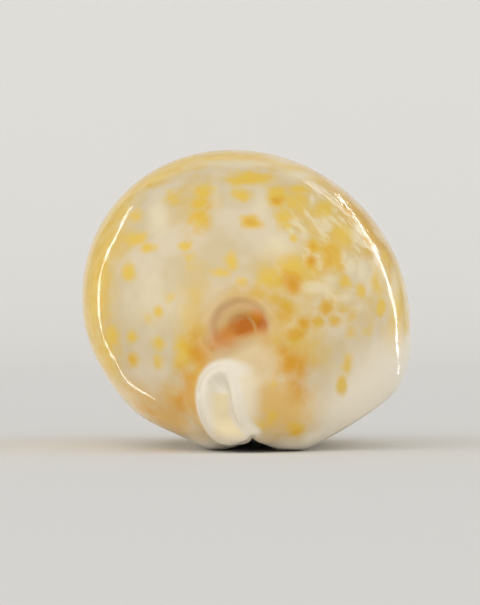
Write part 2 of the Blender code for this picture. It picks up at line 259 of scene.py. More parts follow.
class Signal:
    """A node's output. Arithmetic on it adds Math nodes."""

    def __init__(self, graph, socket):
        self.graph = graph
        self.socket = socket

    def math(self, operation, *values):
        sockets = dict(enumerate((self, *values)))
        return self.graph.out("ShaderNodeMath", {"operation": operation}, sockets)

    def __add__(self, other):
        return self.math("ADD", other)

    def __sub__(self, other):
        return self.math("SUBTRACT", other)

    def __rsub__(self, other):
        return self.math("MULTIPLY_ADD", -1.0, other)

    def __mul__(self, other):
        return self.math("MULTIPLY", other)

    def __truediv__(self, other):
        return self.math("DIVIDE", other)

    def __pow__(self, other):
        return self.math("POWER", other)

    def __neg__(self):
        return self.math("MULTIPLY", -1.0)

    def __abs__(self):
        return self.math("ABSOLUTE")

    __radd__ = __add__
    __rmul__ = __mul__

    def root(self):
        return self.math("SQRT")

    def squared(self):
        return self.math("MULTIPLY", self)

    def cos(self):
        return self.math("COSINE")

    def least(self, other, blend=0.0):
        """The smaller value, rounded over where the two are closer than blend."""
        return self.math("SMOOTH_MIN", other, blend) if blend else self.math("MINIMUM", other)

    def most(self, other, blend=0.0):
        """The larger value, rounded over where the two are closer than blend."""
        return self.math("SMOOTH_MAX", other, blend) if blend else self.math("MAXIMUM", other)

    def ramp(self, start, stop, low=0.0, high=1.0):
        """Goes smoothly from low to high while this value goes from start to stop."""
        sockets = dict(enumerate((self, start, stop, low, high)))
        return self.graph.out("ShaderNodeMapRange", {"interpolation_type": "SMOOTHSTEP"}, sockets)


def length(signals):
    total = signals[0].squared()
    for signal in signals[1:]:
        total = total + signal.squared()
    return total.root()


def blob(place, centre, half_sizes):
    """Distance to an ellipsoid, true near its surface."""
    away = [p - c for p, c in zip(place, centre)]
    scaled = length([a / h for a, h in zip(away, half_sizes)])
    slope = length([a / h ** 2 for a, h in zip(away, half_sizes)])
    return scaled * (scaled - 1.0) / slope.most(1e-4)


def rod(place, start, stop, start_radius, stop_radius):
    """Distance to a round-ended rod that tapers from start to stop."""
    run = [b - a for a, b in zip(start, stop)]
    away = [p - a for p, a in zip(place, start)]
    dot = away[0] * run[0] + away[1] * run[1] + away[2] * run[2]
    share = (dot / sum(r * r for r in run)).most(0.0).least(1.0)
    nearest = length([a - share * r for a, r in zip(away, run)])
    return nearest - (share * (stop_radius - start_radius) + start_radius)


def roll(point, controls, radius):
    """Distance to a roll of that radius along a Bezier curve."""
    graph = point.graph
    names = ("Start", "Start Handle", "End Handle", "End")
    sockets = {"Resolution": 48, **dict(zip(names, controls))}
    curve = graph.out("GeometryNodeCurvePrimitiveBezierSegment", None, sockets)
    line = graph.out("GeometryNodeCurveToMesh", None, {0: curve})
    sockets = {0: line, "Sample Position": point}
    near = graph.node("GeometryNodeProximity", {"target_element": "EDGES"}, sockets)
    return Signal(graph, near.outputs["Distance"]) - radius


def dome(place, size):
    """The humped back: a leaning ellipse across, drawn in faster behind than in front."""
    x, y, z = place
    along = y - WIDEST_Y
    front = along.math("GREATER_THAN", 0.0)
    share = (along / size["Front reach"]).most(-along / size["Hind reach"])
    drop = share.squared() * (front * 9.0 + 3.0)
    drift = share.squared() * (front * 2.0 - 1.1)
    across = x - SECTION_CENTRE[0] - drift
    up = z - SECTION_CENTRE[1] + drop
    long_way = across * math.cos(SECTION_LEAN) + up * math.sin(SECTION_LEAN)
    short_way = up * math.cos(SECTION_LEAN) - across * math.sin(SECTION_LEAN)
    long_half, short_half = size["Long width"] / 2.0, size["Short width"] / 2.0
    fullness = 2.3 - front * 0.35
    reach = front * (size["Front reach"] - size["Hind reach"]) + size["Hind reach"]
    ends = share ** fullness
    scaled = ((long_way / long_half).squared() + (short_way / short_half).squared() + ends).root()
    end_slope = share ** (fullness - 1.0) * fullness * 0.5 / reach
    slope = length([long_way / long_half.squared(), short_way / short_half.squared(), end_slope])
    return scaled * (scaled - 1.0) / slope.most(1e-4)


def slanted(place, slope):
    """Distance above a plane that runs along Y."""
    return place[0] * slope[0] + place[2] * slope[1] - slope[2]


def from_slit(place):
    """Distance sideways from the middle of the slit, which bends left at both ends."""
    x, y, _ = place
    middle = 2.2 - ((y - 4.0) / 37.0).squared() * 1.3
    return abs(x - middle)


def half_slit_width(y, size):
    """Narrow behind, then a little wider towards the front."""
    return y.ramp(-33.0, -24.0, HIND_SLIT_WIDTH / 2.0, size["Slit width"] / 2.0) + y * 0.012


def body(place, back):
    """The back with its thick margin, the sloping base and the swollen ends."""
    x, y, z = place
    margin = x.ramp(11.0, 19.0, 0.0, 0.5) * z.ramp(20.0, 13.0)
    form = (back - margin).most(slanted(place, RIGHT_SLOPE), 1.8)
    form = form.most(slanted(place, LEFT_SLOPE), 3.0).most(slanted(place, LEFT_SHOULDER), 3.0)
    form = form.most(slanted(place, RIGHT_HEEL), 1.2).most(slanted(place, LEFT_HEEL), 1.2)
    form = form.least(rod(place, *LEFT_LIP_HIND).least(rod(place, *LEFT_LIP_FRONT)), 0.8)
    form = form.least(blob(place, *HIND_SWELLING), 4.0).least(blob(place, *HIND_RIGHT_LOBE), 3.0)
    form = form.least(blob(place, *CALLUS), 3.0)
    form = form.least(rod(place, *FRONT_LEFT_LIP), 5.0).least(rod(place, *FRONT_RIGHT_LIP), 5.0)
    bow = x.ramp(2.0, 2.4, 0.28, 0.42)
    hollowed_base = (1.9 - from_slit(place) * bow - z) * 0.95
    lifted_ends = y.ramp(-8.0, -30.0, 0.05, 0.85) + y.ramp(12.0, 36.0, 0.0, 1.2)
    return form.most(hollowed_base, 1.6).most(lifted_ends - z, 0.4)


def with_hind_canal(point, place, form, rim, crest):
    """Adds the rolled rim and the crest on either side of a shallow trough."""
    form = form.least(blob(place, *LEFT_FLANGE), 1.6)
    form = form.least(rim, 0.7)
    trough = roll(point, TROUGH_CURVE, TROUGH_RADIUS).least(rod(place, *CREASE), 1.0)
    form = form.most(-trough, 1.4)
    return form.least(crest, 1.2)


def with_spire(place, form):
    """Sinks the spire and its winding suture. Callus covers the spire's lower third."""
    x, y, z = place
    across, up = x - SPIRE_CENTRE[0], z - SPIRE_CENTRE[1]
    away = length([across, up])
    bare = y.ramp(-20.0, -28.0) * (z - x * 0.28).ramp(15.6, 18.6)
    pit = away.ramp(4.8, 1.2, 0.0, SPIRE_DEPTH)
    turn = (away - SPIRE_RADIUS) * (2.0 * math.pi / COIL_SPACING)
    turn = turn + (up.math("ARCTAN2", across) - math.pi / 2.0)
    suture = (turn.cos() * 0.5 + 0.5).squared() * away.ramp(7.4, 4.4, 0.0, SUTURE_DEPTH)
    return form + (pit + suture * away.ramp(0.4, 1.6)) * bare


def whorl(place, back, size):
    """Distance outside the hollow of the last whorl."""
    _, y, z = place
    wall = y.ramp(-22.0, -33.0) * (HIND_WALL - size["Wall"]) + size["Wall"]
    return (back + wall).most(7.0 - z, 4.0)


def with_openings(place, form, hollow, size):
    """Cuts the slit, the channel at the front and the hollow."""
    _, y, z = place
    ceiling = y.ramp(18.0, 33.0, 12.0, 5.2)
    slit = (from_slit(place) - half_slit_width(y, size)).most(z - ceiling, 2.0).most(-33.5 - y)
    lip_rounding = y.ramp(-33.0, -25.0, 1.2, 3.0)
    form = form.most(-slit, lip_rounding).most(-rod(place, *FRONT_CHANNEL), 2.5)
    return form.most(-hollow, 0.8)


def with_teeth(place, form, size):
    """Cuts grooves across both lips, which leaves a row of teeth on each."""
    _, y, z = place
    across = from_slit(place) - half_slit_width(y, size)
    near_slit = across.ramp(5.0, 1.2) * z.ramp(8.0, 4.5) * y.ramp(-28.0, -25.0) * y.ramp(33.0, 30.0)
    wave = (y * (2.0 * math.pi) / size["Tooth spacing"]).cos()
    return form + (1.0 - wave) * near_slit * (size["Tooth depth"] / 2.0)


def add_float_input(tree, name, value):
    socket = tree.interface.new_socket(name=name, in_out="INPUT", socket_type="NodeSocketFloat")
    socket.default_value = value


def distance_tree():
    """A node group that gives a point's distances outside the shell, its hollow and its rims."""
    tree = bpy.data.node_groups.new("Distance outside the shell", "GeometryNodeTree")
    tree.interface.new_socket(name="Point", in_out="INPUT", socket_type="NodeSocketVector")
    for name, value in SIZES.items():
        add_float_input(tree, name, value)
    for name in ("Distance", "Hollow", "Rims"):
        tree.interface.new_socket(name=name, in_out="OUTPUT", socket_type="NodeSocketFloat")
    graph = Graph(tree)
    given = graph.node("NodeGroupInput")
    size = {name: Signal(graph, given.outputs[name]) for name in SIZES}
    settings = {"operation": "SCALE"}
    sockets = {0: Signal(graph, given.outputs["Point"]), "Scale": 1.0 / MM}
    point = graph.out("ShaderNodeVectorMath", settings, sockets)
    split = graph.node("ShaderNodeSeparateXYZ", None, {0: point})
    place = [Signal(graph, socket) for socket in split.outputs]
    back = dome(place, size)
    hollow = whorl(place, back, size)
    rim = roll(point, RIM_CURVE, RIM_RADIUS)
    crest = roll(point, CREST_CURVE, CREST_RADIUS)
    form = with_hind_canal(point, place, body(place, back), rim, crest)
    form = with_openings(place, with_spire(place, form), hollow, size)
    form = with_teeth(place, form, size)
    results = {"Distance": form * MM, "Hollow": hollow * MM, "Rims": rim.least(crest)}
    graph.node("NodeGroupOutput", None, results)
    return tree


def surface_tree(material):
    """A geometry tree that turns the distance into a closed mesh."""
    group = distance_tree()
    tree = bpy.data.node_groups.new("Shell surface", "GeometryNodeTree")
    tree.interface.new_socket(name="Geometry", in_out="INPUT", socket_type="NodeSocketGeometry")
    tree.interface.new_socket(name="Geometry", in_out="OUTPUT", socket_type="NodeSocketGeometry")
    for name, value in SIZES.items():
        add_float_input(tree, name, value)
    graph = Graph(tree)
    given = graph.node("NodeGroupInput")
    sizes = {name: Signal(graph, given.outputs[name]) for name in SIZES}
    position = graph.out("GeometryNodeInputPosition")

    def distances(point):
        return graph.node("GeometryNodeGroup", {"node_tree": group}, {"Point": point, **sizes})

    def distance(point):
        return Signal(graph, distances(point).outputs["Distance"])

    def snapped(geometry):
        """Moves each vertex along the distance's slope onto the true surface."""
        step = GRID * MM * 0.1
        slopes = []
        for axis in range(3):
            shift = Vector([step if i == axis else 0.0 for i in range(3)])
            ahead = graph.out("ShaderNodeVectorMath", {"operation": "ADD"}, {0: position, 1: shift})
            behind = graph.out("ShaderNodeVectorMath", {"operation": "ADD"}, {0: position, 1: -shift})
            slopes.append((distance(ahead) - distance(behind)) / (2.0 * step))
        steepness = slopes[0].squared() + slopes[1].squared() + slopes[2].squared()
        pull = -distance(position) / steepness.most(0.05)
        reach = GRID * MM
        offsets = [(slope * pull).most(-reach).least(reach) for slope in slopes]
        offset = graph.out("ShaderNodeCombineXYZ", None, dict(enumerate(offsets)))
        sockets = {"Geometry": geometry, "Offset": offset}
        return graph.out("GeometryNodeSetPosition", None, sockets)

    names = ("Resolution X", "Resolution Y", "Resolution Z")
    counts = [round((high - low) / GRID) + 1 for low, high in zip(GRID_LOW, GRID_HIGH)]
    sockets = {"Density": distance(position) * (-1.0 / MM), "Background": -1.0, **dict(zip(names, counts))}
    sockets["Min"] = [v * MM for v in GRID_LOW]
    sockets["Max"] = [v * MM for v in GRID_HIGH]
    volume = graph.out("GeometryNodeVolumeCube", None, sockets)
    sockets = {"Volume": volume, "Threshold": 0.0}
    geometry = graph.out("GeometryNodeVolumeToMesh", {"resolution_mode": "GRID"}, sockets)
    geometry = snapped(snapped(geometry))
    here = distances(position)
    for name in ("Hollow", "Rims"):
        sockets = {"Geometry": geometry, "Name": name.lower(), "Value": Signal(graph, here.outputs[name])}
        geometry = graph.out("GeometryNodeStoreNamedAttribute", None, sockets)
    geometry = graph.out("GeometryNodeRealizeInstances", None, {0: geometry})
    geometry = graph.out("GeometryNodeSetMaterial", None, {0: geometry, "Material": material})
    graph.node("NodeGroupOutput", None, {0: geometry})
    return tree


def mesh_as_seen(item):
    seen = item.evaluated_get(bpy.context.evaluated_depsgraph_get())
    return bpy.data.meshes.new_from_object(seen)


def new_object(name, mesh):
    made = bpy.data.objects.new(name, mesh)
    bpy.context.scene.collection.objects.link(made)
    return made


def read_floats(mesh, name):
    values = np.empty(len(mesh.vertices), np.float32)
    mesh.attributes[name].data.foreach_get("value", values)
    return values


def write_floats(mesh, name, values):
    stored = mesh.attributes.new(name, "FLOAT", "POINT")
    stored.data.foreach_set("value", values.astype(np.float32))


def vertex_places(mesh):
    places = np.empty(len(mesh.vertices) * 3, np.float32)
    mesh.vertices.foreach_get("co", places)
    return places.reshape(-1, 3)


def drawn_shell(material):
    """The fine mesh, still in the shell's own frame, with its sizes set as the tree's inputs."""
    draft = new_object("draft", bpy.data.meshes.new("draft"))
    surface = draft.modifiers.new("Surface", "NODES")
    surface.node_group = surface_tree(material)
    for socket in surface.node_group.interface.items_tree:
        if socket.in_out == "INPUT" and socket.name in SIZES:
            surface[socket.identifier] = SIZES[socket.name]
    mesh = mesh_as_seen(draft)
    bpy.data.objects.remove(draft)
    return mesh


def thinned(mesh):
    """Fewer triangles on the hollow's own wall, where only the slit looks in."""
    draft = new_object("draft", mesh)
    inner = np.where(np.abs(read_floats(mesh, "hollow")) < INNER_SKIN * MM)[0]
    group = draft.vertex_groups.new(name="inside")
    group.add(inner.tolist(), 1.0, "REPLACE")
    thin = draft.modifiers.new("Fewer triangles", "DECIMATE")
    mesh.calc_loop_triangles()
    thin.ratio = min(1.0, TRIANGLES / len(mesh.loop_triangles))
    thin.vertex_group = group.name
    result = mesh_as_seen(draft)
    bpy.data.objects.remove(draft)
    return result


# Markings read off the photograph: the middle, width and height of each in pixels,
# and how strong it is.
YELLOW_BLOTCHES = (
    (252, 178, 54, 18, 1.1), (238, 180, 28, 16, 0.9), (242, 195, 26, 20, 1.1), (204, 193, 26, 24, 1.0),
    (199, 217, 26, 30, 1.1), (200, 205, 22, 24, 1.0), (171, 197, 16, 18, 0.7), (251, 223, 26, 19, 1.1),
    (277, 197, 24, 26, 1.3), (297, 203, 34, 24, 0.7), (284, 217, 19, 30, 0.9), (287, 225, 12, 12, 0.8),
    (301, 189, 26, 12, 1.0), (324, 209, 26, 20, 1.0), (327, 214, 14, 12, 1.0), (343, 236, 26, 28, 1.1),
    (332, 257, 28, 42, 1.2), (314, 247, 14, 19, 1.3), (293, 239, 10, 10, 0.9), (311, 264, 18, 24, 0.9),
    (293, 268, 40, 27, 0.9), (269, 279, 34, 22, 0.8), (345, 283, 17, 17, 1.2), (361, 290, 12, 18, 1.1),
    (377, 285, 16, 26, 0.7), (384, 257, 12, 18, 1.0), (381, 307, 12, 23, 1.5), (137, 240, 24, 18, 1.0),
    (148, 248, 20, 13, 1.0), (184, 247, 18, 13, 1.1), (188, 258, 16, 18, 0.5), (129, 273, 19, 20, 1.3),
    (231, 262, 17, 22, 1.1), (222, 273, 20, 11, 0.8), (242, 283, 14, 14, 1.1), (258, 296, 20, 15, 1.1),
    (272, 300, 24, 14, 0.8), (287, 308, 21, 20, 1.2), (283, 318, 20, 22, 1.1), (325, 307, 18, 18, 1.1),
    (335, 321, 18, 17, 0.9), (353, 317, 12, 14, 0.6), (342, 311, 16, 12, 0.5), (318, 322, 15, 14, 1.2),
    (303, 324, 20, 17, 1.2), (294, 334, 26, 20, 1.2), (275, 340, 13, 18, 1.1), (367, 332, 15, 12, 0.6),
    (352, 332, 14, 12, 0.5), (342, 385, 14, 26, 1.3), (347, 367, 13, 30, 0.8), (158, 312, 12, 14, 0.9),
    (132, 338, 15, 17, 0.9), (112, 337, 16, 24, 1.0), (159, 344, 19, 18, 0.9), (157, 363, 14, 20, 0.7),
    (134, 361, 15, 17, 1.0), (170, 299, 14, 14, 0.6), (148, 318, 14, 14, 0.4), (182, 352, 22, 36, 0.9),
    (203, 332, 14, 22, 0.8), (297, 430, 22, 16, 1.1), (275, 385, 10, 9, 0.7), (260, 425, 22, 20, 0.6),
    (271, 420, 18, 18, 0.4), (407, 327, 9, 20, 0.9), (136, 217, 18, 15, 0.8),
)
ORANGE_BLOTCHES = (
    (312, 261, 15, 18, 1.1), (292, 284, 20, 28, 1.3), (288, 276, 14, 14, 0.6), (303, 324, 18, 15, 0.8),
    (285, 313, 18, 22, 0.5), (277, 201, 15, 10, 0.9), (330, 258, 20, 30, 0.4), (293, 334, 22, 16, 0.6),
    (282, 352, 22, 22, 0.9), (292, 363, 40, 38, 1.2), (300, 370, 28, 26, 1.0), (251, 223, 14, 10, 0.4),
    (203, 354, 36, 40, 1.6), (196, 340, 22, 26, 0.5), (180, 401, 17, 15, 0.9), (187, 407, 32, 26, 0.45),
    (188, 384, 22, 40, 0.6), (297, 431, 14, 10, 0.4), (199, 213, 16, 18, 0.2), (314, 247, 9, 13, 0.4),
    (325, 307, 10, 10, 0.3), (246, 299, 26, 14, 0.3), (147, 410, 24, 10, 0.3), (134, 361, 9, 9, 0.2),
    (266, 343, 16, 16, 0.9), (298, 388, 26, 32, 0.6),
)
VEILS = (
    (193, 340, 40, 140, 0.8), (200, 385, 40, 80, 1.0), (205, 420, 30, 40, 0.6), (196, 300, 34, 70, 0.6),
    (292, 346, 78, 90, 0.9), (285, 404, 74, 84, 1.1), (330, 235, 90, 100, 1.0), (300, 275, 100, 70, 1.0),
    (285, 312, 70, 44, 0.7), (190, 205, 44, 60, 0.3), (98, 290, 44, 170, 1.1), (112, 240, 50, 70, 1.0),
    (122, 212, 26, 40, 0.7), (150, 182, 50, 18, 0.6), (190, 165, 60, 16, 0.6), (105, 345, 34, 80, 0.9),
    (175, 405, 70, 60, 0.8), (168, 420, 70, 44, 1.2), (248, 300, 70, 24, 0.7), (252, 178, 80, 24, 0.5),
    (335, 300, 50, 40, 0.4), (371, 300, 30, 60, 0.4), (150, 400, 80, 40, 0.6), (300, 205, 60, 60, 0.6),
)
# Pale gaps in the pattern, some of them painted reflections, such as the milky patch at upper left.
PALE_GAPS_AND_PAINTED_SHEEN = (
    (325, 227, 20, 15, 1.4), (318, 222, 14, 10, 0.7), (343, 257, 10, 14, 1.2), (351, 266, 14, 20, 1.3),
    (318, 288, 40, 16, 1.1), (330, 280, 22, 16, 0.8), (362, 270, 14, 30, 0.9), (369, 285, 10, 26, 0.8),
    (312, 200, 7, 14, 1.0), (300, 175, 50, 14, 0.8), (345, 298, 22, 10, 0.7), (360, 308, 16, 12, 0.5),
    (358, 232, 12, 30, 0.9), (280, 245, 50, 34, 0.7), (304, 236, 14, 12, 0.7), (158, 218, 24, 44, 1.0),
    (240, 164, 80, 10, 0.8), (375, 262, 9, 30, 0.8), (395, 285, 12, 50, 0.9), (215, 195, 10, 40, 0.4),
    (262, 205, 20, 40, 0.6), (150, 300, 60, 60, 0.4),
)


def seen_place(pixel_x, pixel_y):
    """Where a pixel of the photograph lies on the plane through the shell's widest section."""
    x = (pixel_x - MIDDLE_PIXEL) * MM_PER_PIXEL
    z = (BASE_PIXEL - pixel_y) * MM_PER_PIXEL
    return Vector((x, WIDEST_Y, z))


def marks_from_picture(places, tree, marks, depth=MARK_DEPTH):
    """The highest mark at each vertex: its strength in the middle, 0 at its edge, then below."""
    highest = np.full(len(places), -1.0)
    eye = Vector(EYE)
    for pixel_x, pixel_y, width, height, strength in marks:
        way = seen_place(pixel_x, pixel_y) - eye
        hit = tree.ray_cast(eye * MM, way.normalized())[0]
        if hit is None:
            continue
        size = MM_PER_PIXEL / 2.0 * (hit.y / MM - eye.y) / (WIDEST_Y - eye.y)
        away = (places / MM - np.array(hit) / MM) / np.array((width * size, depth, height * size))
        distance = np.sqrt((away ** 2).sum(axis=1))
        highest = np.maximum(highest, strength * (1.0 - distance))
    return highest


def scattered_marks(places, keep, count, seed, sizes):
    """The same for roundish marks strewn by chance over the vertices that keep picks."""
    chance = random.Random(seed)
    pool = np.where(keep)[0]
    highest = np.full(len(places), -1.0)
    for _ in range(count):
        middle = places[pool[chance.randrange(len(pool))]] / MM
        radius = chance.uniform(*sizes)
        stretch = np.array([chance.uniform(0.75, 1.4) for _ in range(3)])
        strength = chance.uniform(0.6, 1.3)
        distance = np.sqrt((((places / MM - middle) / (radius * stretch)) ** 2).sum(axis=1))
        highest = np.maximum(highest, strength * (1.0 - distance))
    return highest


def mark(mesh):
    """Stores how strongly each vertex carries each kind of marking, and the painted reflections kept with
    the pale gaps.
    """
    places = vertex_places(mesh)
    faces = [list(face.vertices) for face in mesh.polygons]
    tree = BVHTree.FromPolygons([tuple(p) for p in places.tolist()], faces)
    far = (places[:, 1] > FAR_SIDE_Y * MM) & (places[:, 2] > FAR_SIDE_LOWEST_Z * MM)
    far = far & (read_floats(mesh, "hollow") > MM)
    small = scattered_marks(places, far, *FAR_BLOTCHES)
    large = scattered_marks(places, far, *FAR_VEILS)
    pale = scattered_marks(places, far, *FAR_WINDOWS)
    write_floats(mesh, "yellow", np.maximum(marks_from_picture(places, tree, YELLOW_BLOTCHES), small))
    write_floats(mesh, "orange", marks_from_picture(places, tree, ORANGE_BLOTCHES))
    write_floats(mesh, "veil", np.maximum(marks_from_picture(places, tree, VEILS, VEIL_DEPTH), large * 0.7))
    write_floats(mesh, "gap_and_painted_sheen", np.maximum(marks_from_picture(places, tree, PALE_GAPS_AND_PAINTED_SHEEN), pale * 0.7))


def srgb(red, green, blue):
    """A colour given as a picture's 0 to 255 values."""
    parts = [value / 255.0 for value in (red, green, blue)]
    return (*[p / 12.92 if p <= 0.04045 else ((p + 0.055) / 1.055) ** 2.4 for p in parts], 1.0)


def attribute(graph, name):
    settings = {"attribute_type": "GEOMETRY", "attribute_name": name}
    return graph.out("ShaderNodeAttribute", settings, None, "Fac")


def noise(graph, point, scale, detail=3.0, roughness=0.5):
    sockets = {"Vector": point, "Scale": scale, "Detail": detail, "Roughness": roughness}
    return graph.out("ShaderNodeTexNoise", None, sockets)


def around(place, centre, half_width=1.0, half_height=1.0):
    """Distance from a centre on the hind end, as a share of the half sizes given."""
    x, _, z = place
    return length([(x - centre[0]) / half_width, (z - centre[1]) / half_height])


def shell_colour(graph, point, place):
    """Cream ground, yellow veils, blotches, the brown spire and the white rims and base."""
    fine = noise(graph, point, 0.45, 4.0, 0.6) - 0.5
    broad = noise(graph, point, 0.13, 2.0) - 0.5
    colour = graph.mix(broad.ramp(-0.15, 0.15), GROUND, WARM_GROUND)
    colour = with_veils(graph, colour, place, fine, broad)
    colour = with_back_tone(graph, colour, place, fine, broad)
    colour = with_pale_patches(graph, colour, place, fine)
    colour = with_blotches(graph, colour, place, fine)
    colour = with_spire_colour(graph, colour, place, fine)
    hind = place[1].ramp(-27.0, -31.0)
    colour = with_callus(graph, colour, place, fine, hind)
    colour = with_white(graph, colour, place, fine, hind)
    return with_trough(graph, colour, place, hind)


def with_veils(graph, colour, place, fine, broad):
    """Soft yellow washes, a little pinker low down."""
    veil = (attribute(graph, "veil") + fine * 0.9 + broad * 0.5).ramp(-0.3, 0.8)
    tint = graph.mix(place[2].ramp(15.0, 9.0), VEIL_YELLOW, LOW_VEIL_YELLOW)
    return graph.mix(veil * 0.9, colour, tint)


def with_back_tone(graph, colour, place, fine, broad):
    """The deeper yellow of the back. From behind it shows as a band along the outline."""
    x, y, z = place
    back = (y - z.ramp(26.0, 40.0) * 3.5 + broad * 9.0 + fine * 5.0).ramp(-25.5, -18.5)
    tone = graph.mix(fine.ramp(-0.12, 0.16), BACK_YELLOW, BACK_GOLD)
    paler = graph.mix(broad.ramp(-0.12, 0.14), BACK_CREAM, BACK_TAN)
    tone = graph.mix(y.ramp(-19.0, -8.0) * 0.8, tone, paler)
    # Painted shade on the back's gold: deeper towards the upper right outline.
    shaded_upper_right = x.ramp(6.0, 16.0) * z.ramp(24.0, 32.0)
    tone = graph.mix(shaded_upper_right * 0.75, tone, UPPER_RIGHT_SHADED_GOLD)
    return graph.mix(back * z.ramp(7.0, 15.0) * 0.95, colour, tone)


def with_pale_patches(graph, colour, place, fine):
    """Windows in the yellow, some of them painted reflections; painted highlight streaks at upper right;
    and the white outer margin.
    """
    x, _, z = place
    # Pale gaps in the pattern, partly painted reflections.
    gap_and_painted_sheen = (attribute(graph, "gap_and_painted_sheen") + fine * 0.9).ramp(-0.3, 0.8)
    colour = graph.mix(gap_and_painted_sheen * 0.7, colour, GAP_AND_PAINTED_SHEEN_CREAM)
    # Painted highlight: pale streaks at upper right, standing for the broken reflections beside the right
    # highlight.
    near = around(place, PAINTED_STREAKS_CENTRE).ramp(11.0, 5.0)
    painted_streaks = streaks(graph, place).ramp(0.5, 0.62) * near
    colour = graph.mix(painted_streaks * 0.75, colour, PAINTED_STREAK_HIGHLIGHT)
    below = x * RIGHT_SLOPE[0] + z * RIGHT_SLOPE[1] + fine * 2.0
    return graph.mix(below.ramp(-7.0, 1.0) * x.ramp(8.0, 15.0), colour, BASE_WHITE)


def with_blotches(graph, colour, place, fine):
    """Yellow blotches, more olive right of the spire, with the orange ones over them."""
    yellow = (attribute(graph, "yellow") + fine * 1.5).ramp(-0.3, 0.85)
    olive = around(place, OLIVE_CENTRE, 9.0, 7.5).ramp(1.0, 0.444) * place[1].ramp(-20.0, -24.0)
    tone = graph.mix(olive * 0.8, BLOTCH_YELLOW, BLOTCH_OLIVE)
    colour = graph.mix(yellow * 0.9, colour, tone)
    orange = (attribute(graph, "orange") + fine * 1.5).ramp(-0.4, 1.15)
    return graph.mix(orange * 0.9, colour, BLOTCH_ORANGE)


def above_callus(place):
    """Height above the callus's upper edge, which rises to the right."""
    x, _, z = place
    return z - x * CALLUS_EDGE_SLANT - CALLUS_EDGE_HEIGHT


def with_spire_colour(graph, colour, place, fine):
    """Rings of pinkish tan round the spire, which is brown-orange where it is deepest."""
    x, y, _ = place
    behind = y.ramp(-24.0, -28.0)
    away = around(place, SPIRE_CENTRE)
    over_callus = above_callus(place) + fine * 0.8
    bare = behind * over_callus.ramp(-1.4, 1.1)
    colour = graph.mix(away.ramp(8.0, 4.0) * behind * 0.75, colour, SPIRE_TAN)
    colour = graph.mix(away.ramp(4.4, 3.2) * bare * 0.6, colour, SPIRE_INNER_TAN)
    ring = abs(away - SPIRE_RADIUS).ramp(1.3, 0.1) * bare
    colour = graph.mix(ring * 0.5, colour, SPIRE_RING)
    brown = deep_brown(place, away, over_callus) * (1.0 + fine * 0.8) * bare
    tone = graph.mix(x.ramp(-4.5, -1.5), SPIRE_LEFT_BROWN, SPIRE_BROWN)
    middle = around(place, PIT_MIDDLE, 2.5, 2.273).ramp(1.0, 0.36)
    beyond_turn = around(place, BEYOND_TURN).ramp(1.5, 0.4)
    tone = graph.mix(middle.most(beyond_turn), tone, SPIRE_DEEP_BROWN)
    return graph.mix(brown, colour, tone)


def deep_brown(place, away, over_callus):
    """How brown the spire is: most just over the callus, with a painted highlight along its turn, where the
    brown is paler.
    """
    x = place[0]
    top = x.ramp(-4.8, -1.0, 3.0, 4.5)
    band = over_callus.ramp(top, top - 2.4)
    # Painted highlight: a paler line along the spiral's turn.
    turn = abs(around(place, RIDGE_HIGHLIGHT_CENTRE) - RIDGE_HIGHLIGHT_RADIUS).ramp(0.4, 0.05) * x.ramp(-0.2, 0.8)
    left = x.ramp(-5.6, -3.6, 0.3, 1.0)
    return band * left * away.ramp(4.7, 3.6) * (1.0 - turn * 0.55)


def spire_dullness(place):
    """The glaze is duller inside the spire's pit."""
    pit = around(place, SPIRE_CENTRE).ramp(4.4, 2.6)
    return pit * above_callus(place).ramp(-0.2, 0.8) * place[1].ramp(-24.0, -28.0)


def with_callus(graph, colour, place, fine, hind):
    """Cream callus, browner along its upper left edge, and a whiter strip beside the crest."""
    x, _, z = place
    cream = around(place, CALLUS_CENTRE, 5.5, 4.2).ramp(1.15, 0.55) * hind
    edge = (z - x * 0.6 - CALLUS_EDGE_HEIGHT).ramp(-2.6, -0.6)
    colour = graph.mix(cream * 0.85, colour, graph.mix(edge, CALLUS_CREAM, CALLUS_EDGE_TAN))
    smoke = above_callus(place).ramp(-2.1, 0.1) * around(place, SMOKE_CENTRE).ramp(3.4, 1.0) * hind
    colour = graph.mix(smoke * (0.55 + fine), colour, CALLUS_SMOKE)
    beside = around(place, CREST_SIDE_CENTRE, 2.4, 6.0).ramp(1.25, 0.1) * hind
    return graph.mix(beside * 0.85, colour, CREST_SIDE_CREAM)


def with_white(graph, colour, place, fine, hind):
    """White on the base, on the canal's rims and between them."""
    x, _, z = place
    base = (z - x.ramp(6.0, 14.0) * 2.2 + fine * 1.5).ramp(3.2, 1.1)
    rims = attribute(graph, "rims").ramp(1.2, 0.3) * hind
    between = around(place, TROUGH_CENTRE, 2.4, 4.6).ramp(1.1, 0.7) * hind
    colour = graph.mix(base, colour, BASE_WHITE)
    return graph.mix(rims.most(between), colour, RIM_WHITE)


def with_trough(graph, colour, place, hind):
    """The canal's cream floor, which starts at a thin step with a painted highlight along it and ends along
    the crest.
    """
    x, _, z = place
    crest = z.ramp(6.8, 1.6, -1.95, 1.0)
    left_of_crest = (crest - x).ramp(0.1, 0.9)
    across = (x + z * 0.06).ramp(-5.2, -3.6) * left_of_crest
    cream = across * z.ramp(9.7, 9.0) * z.ramp(1.9, 3.8) * hind
    # Painted highlight: a thin white line along the step.
    step = abs(z - 9.5 - (-3.4 - x).most(0.0) * 1.3).ramp(0.5, 0.0) * z.ramp(12.0, 10.5) * hind
    colour = graph.mix(cream * 0.8, colour, TROUGH_CREAM)
    return graph.mix(step * left_of_crest * 0.4, colour, PAINTED_STEP_HIGHLIGHT)


def streaks(graph, place):
    """Noise drawn out into streaks that slope down to the right."""
    x, y, z = place
    stretched = graph.out("ShaderNodeCombineXYZ", None, {0: (x + z) * 0.45, 1: (x - z) * 0.14, 2: y * 0.2})
    return noise(graph, stretched, 1.0, 3.0, 0.55)


